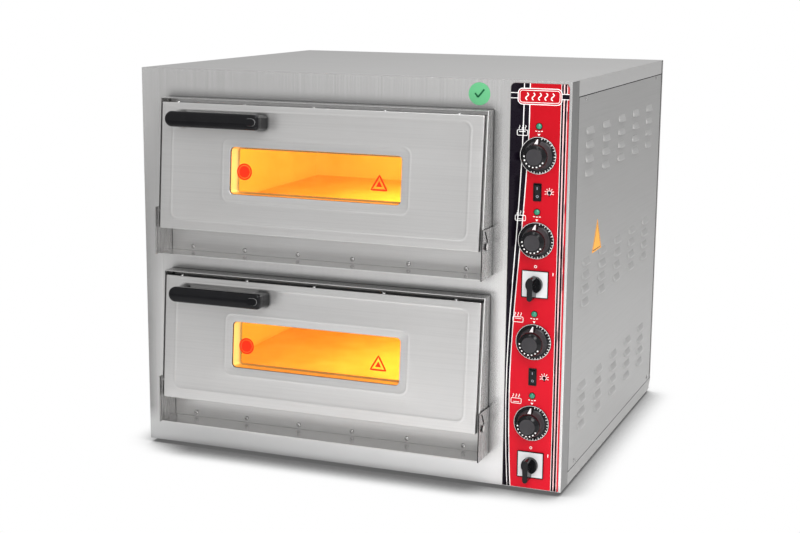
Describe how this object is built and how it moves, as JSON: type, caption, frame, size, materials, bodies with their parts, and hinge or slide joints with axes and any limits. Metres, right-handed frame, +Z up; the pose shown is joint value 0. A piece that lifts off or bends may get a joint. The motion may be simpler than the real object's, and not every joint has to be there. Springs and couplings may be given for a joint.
{
  "type": "countertop pizza oven",
  "caption": "Countertop stacked-deck electric pizza oven with drop-down windowed doors, stone-floored baking chambers and a control panel down the right side.",
  "frame": {"origin": "centre of the overall box in plan, at the underside of the feet", "axes": "+Z up, the doors and controls face -Y, +X to the viewer's right when facing the doors"},
  "size_m": [0.86, 0.8718, 0.748],
  "materials": {
    "stainless": "brushed stainless sheet, grain along the length",
    "inner_steel": "plain galvanised or stainless inner sheet",
    "chamber_steel": "aluminised sheet, heat-toned",
    "zinc_steel": "zinc-plated, satin",
    "mineral_wool": "loose fibrous",
    "pizza_stone": "fired, fine-grained, matt",
    "heating_tube": "dull oxidised tube",
    "lamp_ceramic": "matt",
    "lamp_glass": "clear borosilicate",
    "window_glass": "clear tempered glass, lit amber from inside",
    "printed_film": "reverse-printed polycarbonate film",
    "black_plastic": "moulded phenolic, glossy",
    "dark_plastic": "moulded, satin",
    "white_plastic": "moulded, satin white",
    "green_lens": "translucent lens",
    "brass": "turned",
    "rubber": "moulded, matt"
  },
  "bodies": {
    "cabinet": {"base_pan": "stainless", "feet": "rubber", "front_panel": "stainless", "side_panel_left": "stainless", "side_panel_right": "stainless", "top_cover": "stainless", "rear_panel": "stainless", "partition": "inner_steel", "casing_screws": "zinc_steel", "cable_gland": "dark_plastic", "terminal_block": "lamp_ceramic", "chamber_upper": "chamber_steel", "chamber_lower": "chamber_steel", "insulation_upper": "mineral_wool", "insulation_lower": "mineral_wool", "pizza_stone_upper": "pizza_stone", "pizza_stone_lower": "pizza_stone", "elements_upper": "heating_tube", "elements_lower": "heating_tube", "lamp_holders": "lamp_ceramic", "lamp_bulbs": "lamp_glass", "lamp_covers": "lamp_glass", "surround_upper": "stainless", "surround_lower": "stainless", "hinge_brackets": "stainless", "sill_plates": "stainless", "sill_rivets": "zinc_steel", "control_overlay": "printed_film", "thermostats": "zinc_steel", "cam_switch_bodies": "dark_plastic", "cam_switch_plates": "white_plastic", "rocker_housings": "black_plastic", "indicator_lamps": "green_lens"},
    "door_upper": {"door_skin_upper": "stainless", "door_liner_upper": "inner_steel", "door_insulation_upper": "mineral_wool", "door_glass_upper": "window_glass", "handle_upper": "black_plastic", "door_screws_upper": "zinc_steel", "hinge_pins_upper": "zinc_steel"},
    "door_lower": {"door_skin_lower": "stainless", "door_liner_lower": "inner_steel", "door_insulation_lower": "mineral_wool", "door_glass_lower": "window_glass", "handle_lower": "black_plastic", "door_screws_lower": "zinc_steel", "hinge_pins_lower": "zinc_steel"},
    "thermostat_upper_ceiling": {"dial_upper_ceiling": "black_plastic", "spindle_upper_ceiling": "brass"},
    "thermostat_upper_floor": {"dial_upper_floor": "black_plastic", "spindle_upper_floor": "brass"},
    "cam_upper": {"cam_knob_upper": "black_plastic"},
    "light_switch_upper": {"rocker_upper": "black_plastic"},
    "thermostat_lower_ceiling": {"dial_lower_ceiling": "black_plastic", "spindle_lower_ceiling": "brass"},
    "thermostat_lower_floor": {"dial_lower_floor": "black_plastic", "spindle_lower_floor": "brass"},
    "cam_lower": {"cam_knob_lower": "black_plastic"},
    "light_switch_lower": {"rocker_lower": "black_plastic"}
  },
  "joints": [
    {"name": "door_hinge_upper", "type": "hinge", "parent": "cabinet", "child": "door_upper", "pos_m": [-0.0405, -0.39128, 0.4568], "axis": [1, 0, 0], "range_deg": [0, 95]},
    {"name": "door_hinge_lower", "type": "hinge", "parent": "cabinet", "child": "door_lower", "pos_m": [-0.0405, -0.39128, 0.1238], "axis": [1, 0, 0], "range_deg": [0, 95]},
    {"name": "turn_upper_ceiling", "type": "hinge", "parent": "cabinet", "child": "thermostat_upper_ceiling", "pos_m": [0.3675, -0.36108, 0.6182], "axis": [0, 1, 0], "range_deg": [0, 290]},
    {"name": "turn_upper_floor", "type": "hinge", "parent": "cabinet", "child": "thermostat_upper_floor", "pos_m": [0.3675, -0.36108, 0.4675], "axis": [0, 1, 0], "range_deg": [0, 290]},
    {"name": "turn_cam_upper", "type": "hinge", "parent": "cabinet", "child": "cam_upper", "pos_m": [0.3675, -0.36108, 0.389], "axis": [0, 1, 0], "range_deg": [0, 60]},
    {"name": "tilt_rocker_upper", "type": "hinge", "parent": "cabinet", "child": "light_switch_upper", "pos_m": [0.3675, -0.35128, 0.5537], "axis": [1, 0, 0], "range_deg": [-16, 0]},
    {"name": "turn_lower_ceiling", "type": "hinge", "parent": "cabinet", "child": "thermostat_lower_ceiling", "pos_m": [0.3675, -0.36108, 0.2837], "axis": [0, 1, 0], "range_deg": [0, 290]},
    {"name": "turn_lower_floor", "type": "hinge", "parent": "cabinet", "child": "thermostat_lower_floor", "pos_m": [0.3675, -0.36108, 0.133], "axis": [0, 1, 0], "range_deg": [0, 290]},
    {"name": "turn_cam_lower", "type": "hinge", "parent": "cabinet", "child": "cam_lower", "pos_m": [0.3675, -0.36108, 0.0545], "axis": [0, 1, 0], "range_deg": [0, 60]},
    {"name": "tilt_rocker_lower", "type": "hinge", "parent": "cabinet", "child": "light_switch_lower", "pos_m": [0.3675, -0.35128, 0.2192], "axis": [1, 0, 0], "range_deg": [-16, 0]}
  ]
}
